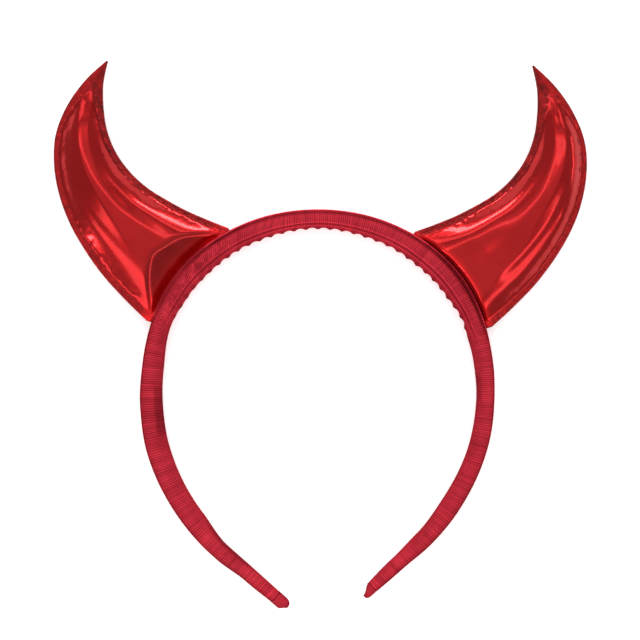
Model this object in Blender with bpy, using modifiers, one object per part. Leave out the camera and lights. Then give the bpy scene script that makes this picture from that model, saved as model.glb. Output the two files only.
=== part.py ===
"""A costume headband: two stuffed crescent horns of red metallic vinyl, sewn into a hoop covered with ribbon.

It lies on its back. The arch is in the XY plane, with the middle of its crown over the origin and its legs
towards -Y, and +Z is the side that faces a viewer. Metres, and degrees for angles."""

import math

import bmesh
import bpy
from mathutils import Vector

# The arch: the band's centreline on each side, from the crown, as tangent arcs and a straight leg.
CROWN_RADIUS = 0.0715
CROWN_SWEEP = 36.0
SHOULDER_RADIUS = 0.053
SHOULDER_SWEEP = 31.5
SIDE_RADIUS = 0.083
SIDE_SWEEP = 70.5
LEFT_LEG = 0.036
RIGHT_LEG = 0.0285

# The ribbon sleeve. Width runs across the arch in its own plane, and depth from the back to the front. The
# lips are the ribbon's two edges, sewn together along the outside, and LIP_ROOT is how thick they are at
# the stitched groove as a share of their thickness at the edge.
BAND_WIDTH = 0.008
BAND_DEPTH = 0.012
TIP_DEPTH = 0.0095
LIP_LENGTH = 0.0020
LIP_WALL = 0.0010
LIP_ROOT = 0.85
CLOSED_SLOT = 0.0003

# The gathers in the ribbon's loose inner fold, a row of small arches between points that reach inwards, and
# how far along each side of the band they run.
GATHER_PITCH = 0.0050
GATHER_RISE = 0.0007
LEFT_GATHERS = 0.082
RIGHT_GATHERS = 0.088

# The folded ribbon that closes each end of the band: a cage whose ends, as shares of the fold's width,
# length and depth, make up for what rounding takes off.
LEFT_FOLD_LENGTH = 0.0068
LEFT_FOLD_WIDTH = 0.0052
RIGHT_FOLD_LENGTH = 0.0056
RIGHT_FOLD_WIDTH = 0.0046
FOLD_CAGE_BASE = 0.98
FOLD_CAGE_LENGTH = 1.22
FOLD_CAGE_TIP_DEPTH = 1.08

# The horns: two vinyl panels each, flat along their seam and puffed out inside it. SEAM_MOST is the most of
# a narrow section that one seam allowance takes.
PANEL_WALL = 0.0010
SEAM_ALLOWANCE = 0.0033
SEAM_MOST = 0.40
BASE_BORDER = 0.0010
FRONT_PUFF = 0.0085
BASE_RISE = 0.0075
STUFFING_INSET = 0.0014

# How full a horn's section is: it is flat over more of its middle with a higher crown power, and steeper at
# the seams and at the band with a lower shoulder power.
CROWN_POWER = 2.2
SEAM_SHOULDER = 0.75
BASE_SHOULDER = 0.6

# Clearances.
PIECE_GAP = 0.0003
SLOT_MARGIN = 0.0010
SLOT_RUNOUT = 0.0040
FLOOR_GAP = 0.0003

# Sections of the band on each side: the place as a share of that side's length, the width there on the
# left and on the right, and how far each is shifted outwards, all three as shares of BAND_WIDTH.
BAND_COLUMNS = ("place", "left_width", "left_shift", "right_width", "right_shift")
BAND_SECTIONS = (
    (0.00, 1.00, -0.02, 1.00, -0.02),
    (0.14, 1.12, -0.05, 1.14, -0.06),
    (0.24, 1.20, -0.10, 1.27, -0.12),
    (0.31, 1.15, -0.07, 1.26, -0.11),
    (0.38, 0.98, 0.02, 1.06, -0.02),
    (0.46, 1.09, -0.05, 0.97, 0.00),
    (0.53, 1.14, -0.02, 0.91, 0.01),
    (0.61, 1.17, 0.03, 0.95, 0.02),
    (0.76, 1.12, 0.02, 1.00, -0.05),
    (0.84, 0.89, 0.13, 0.90, -0.02),
    (0.91, 0.74, 0.04, 0.74, 0.00),
    (1.00, 0.62, -0.02, 0.58, 0.04),
)

# The sleeve's tube, from its inner nose to the stitched groove: how far across as a share of that span,
# how high as a share of half the depth, and how much of the gathers' rise it takes.
TUBE_PROFILE = (
    (0.00, 0.00, 1.0),
    (0.04, 0.42, 1.0),
    (0.20, 0.85, 0.4),
    (0.36, 1.00, 0.0),
    (0.80, 1.00, 0.0),
    (0.93, 0.72, 0.0),
)

# Where each horn stands: its side of the arch, how far along the band from the crown the middle of its
# base is, how it leans from the band's normal there, and its reach outwards, rise and base width.
LEFT_HORN_STATION = 0.0574
LEFT_HORN_LEAN = 0.35
LEFT_HORN_REACH = 0.0796
LEFT_HORN_RISE = 0.0429
LEFT_HORN_WIDTH = 0.0492
RIGHT_HORN_STATION = 0.0600
RIGHT_HORN_LEAN = 1.80
RIGHT_HORN_REACH = 0.0787
RIGHT_HORN_RISE = 0.0449
RIGHT_HORN_WIDTH = 0.0490

# Sections of a horn from its base to its tip, evenly spaced: reach, rise and width as shares of the horn's
# own, the tilt of the section, and its puff as a share of the panel's.
SECTION_COLUMNS = ("reach", "rise", "width", "tilt", "puff")
HORN_SECTIONS = (
    (0.000, 0.000, 1.000, -1.6, 0.86),
    (0.131, -0.026, 0.929, -6.2, 0.96),
    (0.263, -0.042, 0.853, -11.2, 1.00),
    (0.393, -0.033, 0.772, -16.6, 1.00),
    (0.523, -0.002, 0.685, -23.3, 0.96),
    (0.648, 0.068, 0.598, -30.0, 0.90),
    (0.764, 0.182, 0.509, -37.2, 0.80),
    (0.863, 0.343, 0.416, -44.8, 0.66),
    (0.933, 0.545, 0.297, -51.6, 0.45),
    (0.980, 0.769, 0.154, -57.9, 0.17),
    (1.000, 1.000, 0.014, -64.0, 0.00),
)

# Long soft dents in a horn: the place of the middle from base to tip and from the outer edge to the inner
# one, the length and breadth as shares of those two ways, and the depth as a share of the puff.
DENT_COLUMNS = ("along", "across", "length", "breadth", "depth")
HORN_DENTS = (
    (0.16, 0.60, 0.16, 0.12, 0.14),
    (0.44, 0.36, 0.22, 0.10, 0.10),
    (0.62, 0.66, 0.16, 0.10, 0.08),
)

# How fine the meshes are. FIRST_ROW_STEP is a panel's first row step, beside the band, as a share of an even
# one, and the stuffing stops STUFFING_TIP_ROWS short of the tip.
SECTIONS_PER_GATHER = 4
LEG_STEP = 0.008
PANEL_ROWS = 20
PANEL_COLUMNS = 10
FIRST_ROW_STEP = 0.35
STUFFING_TIP_ROWS = 4
FOLD_LEVELS = 2
SHARP_ANGLE = 40.0
WELD_DISTANCE = 1e-7

# How the place where a horn meets the ribbon is searched for: by halving a range, which along the horn is
# this share of its length.
HALVINGS = 40
BASE_SEARCH = 0.3

SLOT_HALF_CLOSED = CLOSED_SLOT / 2
SLOT_HALF_OPEN = PIECE_GAP / 2 + PANEL_WALL + PIECE_GAP
BACK_PUFF = BAND_DEPTH / 2 - PIECE_GAP / 2 - PANEL_WALL - FLOOR_GAP
ARCS = (
    (CROWN_RADIUS, math.radians(CROWN_SWEEP)),
    (SHOULDER_RADIUS, math.radians(SHOULDER_SWEEP)),
    (SIDE_RADIUS, math.radians(SIDE_SWEEP)),
)
LEGS = {-1: LEFT_LEG, 1: RIGHT_LEG}
GATHERS = {-1: LEFT_GATHERS, 1: RIGHT_GATHERS}
FOLDS = {
    -1: ("end_fold_left", LEFT_FOLD_LENGTH, LEFT_FOLD_WIDTH),
    1: ("end_fold_right", RIGHT_FOLD_LENGTH, RIGHT_FOLD_WIDTH),
}
HORN_COLUMNS = ("name", "side", "station", "lean", "reach", "rise", "width")
HORNS = (
    (
        "horn_left",
        -1,
        LEFT_HORN_STATION,
        LEFT_HORN_LEAN,
        LEFT_HORN_REACH,
        LEFT_HORN_RISE,
        LEFT_HORN_WIDTH,
    ),
    (
        "horn_right",
        1,
        RIGHT_HORN_STATION,
        RIGHT_HORN_LEAN,
        RIGHT_HORN_REACH,
        RIGHT_HORN_RISE,
        RIGHT_HORN_WIDTH,
    ),
)


def clear_scene():
    for old in list(bpy.data.objects):
        bpy.data.objects.remove(old, do_unlink=True)


def make_collection(name):
    made = bpy.data.collections.new(name)
    bpy.context.scene.collection.children.link(made)
    return made


def make_material(name, colour, roughness, metallic):
    made = bpy.data.materials.new(name)
    made.use_nodes = True
    shader = made.node_tree.nodes["Principled BSDF"]
    shader.inputs["Base Color"].default_value = (*colour, 1.0)
    shader.inputs["Roughness"].default_value = roughness
    shader.inputs["Metallic"].default_value = metallic
    return made


def add_object(bm, name, material, collection):
    mesh = bpy.data.meshes.new(name)
    bm.to_mesh(mesh)
    bm.free()
    mesh.materials.append(material)
    mesh.shade_smooth()
    mesh.set_sharp_from_angle(angle=math.radians(SHARP_ANGLE))
    made = bpy.data.objects.new(name, mesh)
    collection.objects.link(made)
    return made


def turn_faces(faces, side):
    """Makes a sheet's faces point up where side is 1 and down where it is -1."""
    if sum(facet.normal.z for facet in faces) * side < 0:
        for facet in faces:
            facet.normal_flip()


def smoothstep(low, high, value):
    share = min(max((value - low) / (high - low), 0.0), 1.0)
    return share * share * (3 - 2 * share)


def read_table(rows, share):
    """The row at this share of an evenly spaced table, on a smooth curve through its rows."""
    last = len(rows) - 1
    index = min(max(int(share * last), 0), last - 1)
    part = share * last - index
    four = [rows[min(max(index + step, 0), last)] for step in (-1, 0, 1, 2)]
    found = []
    for before, start, end, after in zip(*four):
        leave = (end - before) / 2
        arrive = (after - start) / 2
        bend = 3 * (end - start) - 2 * leave - arrive
        turn = 2 * (start - end) + leave + arrive
        found.append(start + part * (leave + part * (bend + part * turn)))
    return found


def read_places(rows, place):
    """The row at this place of a table whose first column is the place, eased between its rows."""
    for low, high in zip(rows, rows[1:]):
        if place <= high[0]:
            share = smoothstep(low[0], high[0], place)
            return [start + (end - start) * share for start, end in zip(low, high)]
    return list(rows[-1])


def side_length(side):
    return sum(radius * sweep for radius, sweep in ARCS) + LEGS[side]


def centreline(side, station):
    """The point at this distance from the crown, the direction onwards and the direction outwards."""
    point = Vector((0.0, 0.0))
    heading = 0.0
    left_over = station
    for radius, sweep in ARCS:
        turned = min(left_over / radius, sweep)
        chord = 2 * radius * math.sin(turned / 2)
        middle = heading - turned / 2
        point += chord * Vector((math.cos(middle), math.sin(middle)))
        heading -= turned
        left_over -= turned * radius
    onwards = Vector((math.cos(heading), math.sin(heading)))
    point += left_over * onwards
    outwards = Vector((-onwards.y, onwards.x))
    mirror = Vector((side, 1))
    return point * mirror, onwards * mirror, outwards * mirror


def band_edges(side, station):
    """How far the sleeve's inner and outer edges lie outwards from the centreline."""
    row = read_places(BAND_SECTIONS, station / side_length(side))
    columns = dict(zip(BAND_COLUMNS, row))
    name = "left" if side < 0 else "right"
    half = BAND_WIDTH * columns[name + "_width"] / 2
    shift = BAND_WIDTH * columns[name + "_shift"]
    return shift - half, shift + half


def band_half_depth(side, station):
    arcs = side_length(side) - LEGS[side]
    share = smoothstep(arcs - LEGS[side], side_length(side), station)
    return (BAND_DEPTH + (TIP_DEPTH - BAND_DEPTH) * share) / 2


class Horn:
    """The shape of one horn, as a function of where a point is from base to tip and from edge to edge."""

    def __init__(self, row):
        columns = dict(zip(HORN_COLUMNS, row))
        self.name = columns["name"]
        self.side = columns["side"]
        self.reach = columns["reach"]
        self.rise = columns["rise"]
        self.width = columns["width"]
        self.station = columns["station"]
        self.base, onwards, outwards = centreline(self.side, self.station)
        lean = math.radians(columns["lean"])
        self.out = outwards * math.cos(lean) - onwards * math.sin(lean)
        self.up = -outwards * math.sin(lean) - onwards * math.cos(lean)

    def section(self, along):
        """The middle of the section, the direction across it towards the inner edge, its width and puff."""
        columns = dict(zip(SECTION_COLUMNS, read_table(HORN_SECTIONS, along)))
        middle = self.base + self.out * columns["reach"] * self.reach + self.up * columns["rise"] * self.rise
        turned = math.radians(columns["tilt"])
        across = self.out * math.sin(turned) + self.up * math.cos(turned)
        return middle, across, columns["width"] * self.width, columns["puff"]

    def point(self, along, across):
        """The plan point at this share from base to tip and from the outer edge to the inner one."""
        middle, direction, width, _ = self.section(along)
        return middle + direction * width * (across - 0.5)

    def column_share(self, along, column, inset=0.0):
        """How far across a grid column lies: on an edge, on a seam line, or spread between the seams."""
        width = self.section(along)[2]
        seam = min((SEAM_ALLOWANCE + inset) / width, SEAM_MOST)
        if column == 0:
            return 0.0
        if column == PANEL_COLUMNS:
            return 1.0
        share = (column - 1) / (PANEL_COLUMNS - 2)
        rounded = (1 - math.cos(math.pi * share)) / 2
        spread = (share + rounded) / 2
        return seam + (1 - 2 * seam) * spread

    def nearest_station(self, point):
        """The place on the band's centreline beside a plan point."""
        low = 0.0
        high = side_length(self.side)
        for _ in range(HALVINGS):
            middle = (low + high) / 2
            place, onwards, _ = centreline(self.side, middle)
            if (point - place).dot(onwards) > 0:
                low = middle
            else:
                high = middle
        return (low + high) / 2

    def band_distance(self, point):
        """How far a plan point lies outside the ribbon's outer edge."""
        station = self.nearest_station(point)
        place, _, outwards = centreline(self.side, station)
        return (point - place).dot(outwards) - band_edges(self.side, station)[1]

    def start(self, column, distance, inset=0.0):
        """The share from base to tip where a grid column is this far outside the ribbon."""
        low = 0.0
        high = BASE_SEARCH
        for _ in range(HALVINGS):
            middle = (low + high) / 2
            point = self.point(middle, self.column_share(middle, column, inset))
            if self.band_distance(point) < distance:
                low = middle
            else:
                high = middle
        return (low + high) / 2

    def corner_stations(self):
        """Where along the band the base's upper and lower corners are."""
        corners = []
        for column in (PANEL_COLUMNS, 0):
            along = self.start(column, BASE_BORDER)
            corners.append(self.nearest_station(self.point(along, self.column_share(along, column))))
        return corners

    def seat(self, point):
        """The plan point at the bottom of the ribbon's slot beside this one."""
        station = self.nearest_station(point)
        place, _, outwards = centreline(self.side, station)
        outer = band_edges(self.side, station)[1]
        return place + outwards * (outer - LIP_LENGTH + PIECE_GAP)

    def height(self, along, across, inset=0.0):
        """The puff at a plan point as a share of the panel's, from 0 at the seams and at the band."""
        _, _, width, puff = self.section(along)
        edge = min(across, 1 - across) * width - SEAM_ALLOWANCE - inset
        half = width / 2 - SEAM_ALLOWANCE - inset
        if edge <= 0 or half <= 0:
            return 0.0
        off_middle = 1 - edge / half
        crown = (1 - off_middle**CROWN_POWER) ** SEAM_SHOULDER
        from_band = self.band_distance(self.point(along, across)) - BASE_BORDER - inset
        left = 1 - min(max(from_band / BASE_RISE, 0.0), 1.0)
        rise = (1 - left * left) ** BASE_SHOULDER
        dented = 1.0
        for row in HORN_DENTS:
            dent = dict(zip(DENT_COLUMNS, row))
            long_way = (along - dent["along"]) / dent["length"]
            cross_way = (across - dent["across"]) / dent["breadth"]
            dented -= dent["depth"] * math.exp(-(long_way**2) - cross_way**2)
        return puff * crown * rise * dented


def slot_half(side, station, horn):
    """Half the slot's width: open where the horn's base is in it, and closed beyond."""
    upper, lower = horn.corner_stations_found
    beyond = max(upper - station, station - lower, 0.0)
    closing = smoothstep(SLOT_MARGIN, SLOT_MARGIN + SLOT_RUNOUT, beyond)
    return SLOT_HALF_OPEN + (SLOT_HALF_CLOSED - SLOT_HALF_OPEN) * closing


def sleeve_outline(side, station, horn):
    """The sleeve's section as (outwards, up from the middle) pairs, round from the nose."""
    inner, outer = band_edges(side, station)
    half = band_half_depth(side, station)
    groove = outer - LIP_LENGTH
    slot = slot_half(side, station, horn)
    lip = slot + LIP_WALL
    gathered = GATHERS[side]
    fading = 1 - smoothstep(gathered - GATHER_PITCH, gathered, station)
    arch = GATHER_RISE * abs(math.sin(math.pi * station / GATHER_PITCH)) * fading
    lower = [
        (inner + (groove - inner) * share + arch * taken, -half * height)
        for share, height, taken in TUBE_PROFILE
    ]
    lower += [(groove, -lip * LIP_ROOT), (outer, -lip), (outer, -slot), (groove, -slot)]
    upper = [(outwards, -up) for outwards, up in reversed(lower[1:])]
    return lower + upper


def sleeve_stations(side):
    """Distances from the crown of the sleeve's sections on one side, close in the gathers."""
    gather_step = GATHER_PITCH / SECTIONS_PER_GATHER
    end = side_length(side) - FOLDS[side][1] - PIECE_GAP
    stations = [gather_step * count for count in range(1, round(GATHERS[side] / gather_step) + 1)]
    left_over = end - stations[-1]
    steps = max(round(left_over / LEG_STEP), 1)
    stations += [stations[-1] + left_over * (count + 1) / steps for count in range(steps)]
    return stations


def make_band_sleeve(horns, material, collection):
    """A loft of sections along the arch, from the left leg over the crown to the right leg."""
    places = [(-1, station) for station in reversed(sleeve_stations(-1))]
    places += [(1, 0.0)]
    places += [(1, station) for station in sleeve_stations(1)]
    rings = []
    for side, station in places:
        point, _, outwards = centreline(side, station)
        outline = sleeve_outline(side, station, horns[side])
        rings.append(
            [
                Vector((*(point + outwards * offset), BAND_DEPTH / 2 + up))
                for offset, up in outline
            ]
        )
    around = len(rings[0])
    bm = bmesh.new()
    bmesh.ops.create_grid(bm, x_segments=around, y_segments=len(rings) - 1, size=0.5)
    bm.verts.ensure_lookup_table()
    for vert in bm.verts:
        column = round((vert.co.x + 0.5) * around)
        row = round((vert.co.y + 0.5) * (len(rings) - 1))
        vert.co = rings[row][column % around]
    bmesh.ops.remove_doubles(bm, verts=bm.verts, dist=WELD_DISTANCE)
    bmesh.ops.holes_fill(bm, edges=[edge for edge in bm.edges if edge.is_boundary])
    bmesh.ops.recalc_face_normals(bm, faces=bm.faces)
    return add_object(bm, "band_sleeve", material, collection)


def make_end_fold(side, material, collection):
    """A rounded block that closes one end of the sleeve, narrower towards the tip."""
    name, length, width = FOLDS[side]
    end = side_length(side)
    point, onwards, outwards = centreline(side, end - length / 2)
    inner, outer = band_edges(side, end - length)
    bm = bmesh.new()
    bmesh.ops.create_cube(bm, size=1.0)
    crease = bm.edges.layers.float.new("crease_edge")
    for edge in bm.edges:
        if all(vert.co.y < 0 for vert in edge.verts):
            edge[crease] = 1.0
    depth = 2 * band_half_depth(side, end)
    for vert in bm.verts:
        towards_tip = vert.co.y > 0
        vert.co.x *= width * (1.0 if towards_tip else FOLD_CAGE_BASE)
        vert.co.y *= length * (FOLD_CAGE_LENGTH if towards_tip else 1.0)
        vert.co.z *= depth * (FOLD_CAGE_TIP_DEPTH if towards_tip else FOLD_CAGE_BASE)
    made = add_object(bm, name, material, collection)
    levels = made.modifiers.new("round", "SUBSURF")
    levels.levels = FOLD_LEVELS
    levels.render_levels = FOLD_LEVELS
    middle = point + outwards * (inner + outer) / 2
    made.location = (*middle, BAND_DEPTH / 2)
    made.rotation_euler.z = math.atan2(onwards.y, onwards.x) - math.pi / 2
    return made


def graded(start, share):
    """A share of the way from the start to the tip, in steps that are short at the band."""
    return start + (1 - start) * share * (FIRST_ROW_STEP + (1 - FIRST_ROW_STEP) * share)


def make_panel(horn, face, puff, material, collection):
    """One vinyl wall of a horn: its inner surface as a mapped grid, thickened outwards."""
    bm = bmesh.new()
    rows = PANEL_ROWS + 1
    starts = [horn.start(column, BASE_BORDER) for column in range(PANEL_COLUMNS + 1)]
    bmesh.ops.create_grid(bm, x_segments=PANEL_COLUMNS, y_segments=rows, size=0.5)
    for vert in bm.verts:
        column = round((vert.co.x + 0.5) * PANEL_COLUMNS)
        row = round((vert.co.y + 0.5) * rows)
        along = graded(starts[column], max(row - 1, 0) / PANEL_ROWS)
        across = horn.column_share(along, column)
        point = horn.point(along, across)
        height = puff * horn.height(along, across)
        if row == 0:
            point = horn.seat(point)
            height = 0.0
        vert.co = (*point, BAND_DEPTH / 2 + face * (PIECE_GAP / 2 + height))
    bm.normal_update()
    turn_faces(list(bm.faces), face)
    name = horn.name + ("_front" if face > 0 else "_back")
    made = add_object(bm, name, material, collection)
    wall = made.modifiers.new("wall", "SOLIDIFY")
    wall.thickness = PANEL_WALL
    wall.offset = 1.0
    wall.use_even_offset = True
    return made


def make_stuffing(horn, material, collection):
    """The filling: a lens inside the two panels, its front and back sheets welded at the rim."""
    first_row = 1
    last_row = PANEL_ROWS - STUFFING_TIP_ROWS
    rows = last_row - first_row
    columns = PANEL_COLUMNS - 2
    starts = [
        horn.start(column + 1, BASE_BORDER + STUFFING_INSET, STUFFING_INSET)
        for column in range(columns + 1)
    ]
    bm = bmesh.new()
    for face, puff in ((1, FRONT_PUFF), (-1, BACK_PUFF)):
        made = bmesh.ops.create_grid(bm, x_segments=columns, y_segments=rows, size=0.5)
        for vert in made["verts"]:
            column = round((vert.co.x + 0.5) * columns)
            row = round((vert.co.y + 0.5) * rows)
            along = graded(starts[column], (row + first_row) / PANEL_ROWS)
            across = horn.column_share(along, column + 1, STUFFING_INSET)
            height = max(puff * horn.height(along, across, STUFFING_INSET) - PIECE_GAP, 0.0)
            rim = column in (0, columns) or row in (0, rows)
            point = horn.point(along, across)
            vert.co = (*point, BAND_DEPTH / 2 + (0.0 if rim else face * height))
        bm.normal_update()
        sheet = {facet for vert in made["verts"] for facet in vert.link_faces}
        turn_faces(list(sheet), face)
    bmesh.ops.remove_doubles(bm, verts=bm.verts, dist=WELD_DISTANCE)
    return add_object(bm, horn.name + "_stuffing", material, collection)


def main():
    clear_scene()
    collection = make_collection("devil_horns_headband")
    ribbon = make_material("ribbon", (0.42, 0.012, 0.025), 0.55, 0.0)
    vinyl = make_material("vinyl", (0.45, 0.006, 0.010), 0.12, 0.85)
    wadding = make_material("wadding", (0.80, 0.78, 0.74), 0.95, 0.0)
    horns = {}
    for row in HORNS:
        horn = Horn(row)
        horn.corner_stations_found = horn.corner_stations()
        horns[horn.side] = horn
    make_band_sleeve(horns, ribbon, collection)
    for side, horn in horns.items():
        make_end_fold(side, ribbon, collection)
        make_panel(horn, 1, FRONT_PUFF, vinyl, collection)
        make_panel(horn, -1, BACK_PUFF, vinyl, collection)
        make_stuffing(horn, wadding, collection)


main()
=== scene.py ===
"""The looks of the devil horns headband: a ribbon-covered hoop and two stuffed horns of metallic vinyl.

Metres throughout. The headband lies on its back: the arch is in the XY plane, with the middle of its crown
over the origin and its legs towards -Y, and +Z faces the camera."""

import math

import bpy
import numpy as np
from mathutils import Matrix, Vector


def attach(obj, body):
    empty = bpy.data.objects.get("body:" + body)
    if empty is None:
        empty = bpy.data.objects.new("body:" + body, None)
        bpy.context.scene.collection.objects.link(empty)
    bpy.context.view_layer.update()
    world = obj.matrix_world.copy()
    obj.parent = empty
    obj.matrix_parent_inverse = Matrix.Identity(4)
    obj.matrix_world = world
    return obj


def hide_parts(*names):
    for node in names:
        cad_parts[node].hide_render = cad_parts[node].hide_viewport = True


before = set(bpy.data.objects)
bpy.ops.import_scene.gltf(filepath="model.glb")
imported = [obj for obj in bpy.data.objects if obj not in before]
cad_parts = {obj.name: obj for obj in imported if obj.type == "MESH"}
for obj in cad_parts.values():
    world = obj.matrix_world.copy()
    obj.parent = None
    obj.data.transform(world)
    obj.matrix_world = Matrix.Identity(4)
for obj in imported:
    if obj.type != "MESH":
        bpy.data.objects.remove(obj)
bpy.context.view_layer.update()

# The arch: the band's centreline on each side, from the crown, as tangent arcs and a straight leg.
ARCS = ((0.0715, math.radians(36.0)), (0.053, math.radians(31.5)), (0.083, math.radians(70.5)))
LEGS = {-1: 0.036, 1: 0.0285}

# The ribbon sleeve.
BAND_WIDTH = 0.008
BAND_DEPTH = 0.012
TIP_DEPTH = 0.0095
RIBBON_TOP = 0.975
LIP_REACH = 0.00145
LEG_LIP_SHARE = 0.40
LIP_WALL = 0.0010
SLOT_FLOOR = 0.0020
SLOT_HALF_CLOSED = 0.00015
SLOT_HALF_OPEN = 0.00122
SLOT_MARGIN = 0.0010
SLOT_RUNOUT = 0.0040
SLOT_RIM = 0.0002
# How light the slot's floor and rim are: painted light in the crevice beside the horns.
SLOT_LIGHTS = (0.9, 1.1)
MIDDLE = BAND_DEPTH / 2

# The gathers along the inner edge: their pitch, the rise between two drawn-in points, how wide such a point
# is, how much of the rise is beside the points, how dark they are as painted shade in the drawn-in points,
# and how far along each side they run.
GATHER_PITCH = 0.0050
GATHER_RISE = 0.0007
GATHER_SPREAD = 0.0012
GATHER_POINT_SHARE = 0.65
GATHER_SHADE = 0.45
GATHERS = {-1: 0.082, 1: 0.088}

# Where the left side's gathers grow shallower, by distance from the crown, and by how much.
SHALLOW = (0.040, 0.060)
SHALLOWER = 0.65

# The cross ribs of the ribbon: their pitch, its spread, and the depth of the valleys between them with the
# range of it. Each rib has four sections, a valley first, and each section its height.
RIB_PITCH = 0.00088
RIB_SPREAD = 0.16
RIB_DEPTH = 0.00026
RIB_DEPTH_RANGE = (0.6, 1.5)
RIB_PHASES = (0.0, 0.14, 0.50, 0.86)
RIB_HEIGHTS = (-1.0, -0.30, 0.0, -0.30)

# How dark a valley is, as painted shade between the ribs, and how much of that its two neighbours take. How
# unevenly light the ribs are, how much more so near the ends of the sleeve, and within what distance.
VALLEY_DARKNESS = (0.42, 0.76)
AFTER_VALLEY = 0.45
BEFORE_VALLEY = 0.35
RIB_UNEVENNESS = 0.06
END_UNEVENNESS = 0.14
END_CREASES = 0.006

# On the left shoulder the ribs slant, the painted highlights along the rows of beads fade, and the ribbon is
# dotted: the places along the band where each begins, is full, fades and ends. Then how far the ribs slant
# and from what share of them on, how light a bead's painted highlight is at least and what it loses, and how
# strong the dots are and where they set in.
SLANTED = (-0.075, -0.060, -0.018, -0.008)
BEADLESS = (-0.090, -0.080, -0.045, -0.025)
DOTTED = (-0.085, -0.075, -0.045, -0.025)
SLANT = 0.55
SLANTED_RIB = 0.35
BEAD_LIGHT = 1.3
BEAD_LOSS = 0.6
DOT_CONTRAST = 0.20
DOTS_ACROSS = (0.10, 0.20)

# Painted shade of folds on the inner side of the legs, where the band turns away: the side, where it starts
# and ends along the band, how far across it reaches as a share of the band's width, and how dark it is. Then
# where along a fold it is full, and to what share of its reach.
FOLD_SHADES = (
    (-1, 0.1020, 0.1270, 0.42, 0.40),
    (1, 0.0980, 0.1120, 0.30, 0.30),
    (-1, 0.1620, 0.1960, 0.20, 0.35),
)
FOLD_COURSE = (0.0, 0.25, 0.75, 1.0)
FOLD_FULL = 0.6

# The smooth darker strip along the ribbon's outer edge: where its inner border lies as a share of the band's
# width, by place along the band, how light it is, how wide its border, and how much of the ribs it loses.
STRIP = np.array(((-0.082, 0.62), (-0.062, 0.62), (-0.052, 0.80), (-0.046, 1.00)))
STRIP_LIGHT = 0.74
STRIP_FADE = 0.08
STRIP_SMOOTHNESS = 0.8

# Painted light along the band, lighter at the crown and down the legs and darker on the shoulders: the
# distance from the crown, and how light the ribbon's colour is there.
PAINTED_LIGHT_ALONG = np.array(((0.00, 1.16), (0.03, 1.12), (0.06, 0.96), (0.09, 0.96), (0.13, 1.00), (0.18, 1.12)))

# The last valley's painted shade, how soon a rib shows its own light and shade, and the ribbon's mottling
# with its wavelength. The UV map is in centimetres.
LAST_VALLEY_LIGHT = 0.8
RIB_LIGHT_GAIN = 1.3
RIBBON_MOTTLE = 0.06
RIBBON_MOTTLE_LENGTH = 0.012
UV_PER_METRE = 100

# Sections of the band: the place as a share of a side's length, then the width there and how far it is
# shifted outwards, on the left and on the right, as shares of BAND_WIDTH.
BAND_SECTIONS = np.array((
    (0.00, 1.00, -0.02, 1.00, -0.02),
    (0.14, 1.12, -0.05, 1.14, -0.06),
    (0.24, 1.20, -0.10, 1.27, -0.12),
    (0.31, 1.15, -0.07, 1.26, -0.11),
    (0.38, 0.98, 0.02, 1.06, -0.02),
    (0.46, 1.09, -0.05, 0.97, 0.00),
    (0.53, 1.14, -0.02, 0.91, 0.01),
    (0.61, 1.17, 0.03, 0.95, 0.02),
    (0.76, 1.12, 0.02, 1.00, -0.05),
    (0.84, 0.89, 0.13, 0.90, -0.02),
    (0.91, 0.74, 0.04, 0.74, 0.00),
    (1.00, 0.62, -0.02, 0.58, 0.04),
))

# The front of the sleeve's tube from its inner nose to the groove beside the lips, where it is gathered:
# how far across as a share of that span, how high as a share of half the depth, how much it takes of the
# ribs and of the gathers, and how light its colour is, with painted shade in the groove between the beads and
# down the side towards the lips, and painted highlights along the two beads.
GATHERED_TUBE = np.array((
    (0.000, 0.00, 0.0, 1.0, 0.85),
    (0.025, 0.28, 0.0, 1.0, 0.85),
    (0.070, 0.54, 0.1, 0.9, 0.88),
    (0.130, 0.70, 0.2, 0.6, 0.88),
    (0.190, 0.79, 0.3, 0.3, 0.85),
    (0.222, 0.88, 0.6, 0.1, 1.85),
    (0.260, 0.85, 0.4, 0.0, 0.90),
    (0.325, 0.79, 0.3, 0.0, 0.62),
    (0.380, 0.88, 0.4, 0.0, 0.80),
    (0.412, 0.96, 0.6, 0.0, 1.90),
    (0.450, 0.93, 0.7, 0.0, 0.95),
    (0.510, 0.95, 1.0, 0.0, 1.00),
    (0.600, 0.99, 1.0, 0.0, 1.00),
    (0.690, 1.00, 1.0, 0.0, 1.00),
    (0.780, 0.99, 1.0, 0.0, 1.00),
    (0.860, 0.95, 1.0, 0.0, 0.92),
    (0.925, 0.83, 0.7, 0.0, 0.66),
    (0.968, 0.58, 0.4, 0.0, 0.55),
    (1.000, 0.26, 0.2, 0.0, 0.45),
))

# The same where it is plain, down the legs, with painted shade down both sides and a little painted light on
# top.
PLAIN_TUBE = np.array((
    (0.000, 0.00, 0.2, 0.0, 0.55),
    (0.025, 0.28, 0.3, 0.0, 0.60),
    (0.070, 0.50, 0.4, 0.0, 0.70),
    (0.130, 0.65, 0.5, 0.0, 0.80),
    (0.190, 0.76, 0.6, 0.0, 0.85),
    (0.250, 0.84, 0.7, 0.0, 0.88),
    (0.310, 0.90, 0.7, 0.0, 0.92),
    (0.370, 0.94, 0.8, 0.0, 0.96),
    (0.430, 0.965, 0.8, 0.0, 1.00),
    (0.490, 0.985, 0.8, 0.0, 1.02),
    (0.550, 0.995, 0.8, 0.0, 1.04),
    (0.610, 1.00, 0.8, 0.0, 1.05),
    (0.680, 0.995, 0.8, 0.0, 1.05),
    (0.750, 0.97, 0.8, 0.0, 1.02),
    (0.820, 0.93, 0.9, 0.0, 0.98),
    (0.880, 0.85, 0.9, 0.0, 0.94),
    (0.930, 0.74, 0.9, 0.0, 0.88),
    (0.970, 0.60, 0.8, 0.0, 0.80),
    (1.000, 0.42, 0.7, 0.0, 0.72),
))
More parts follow.
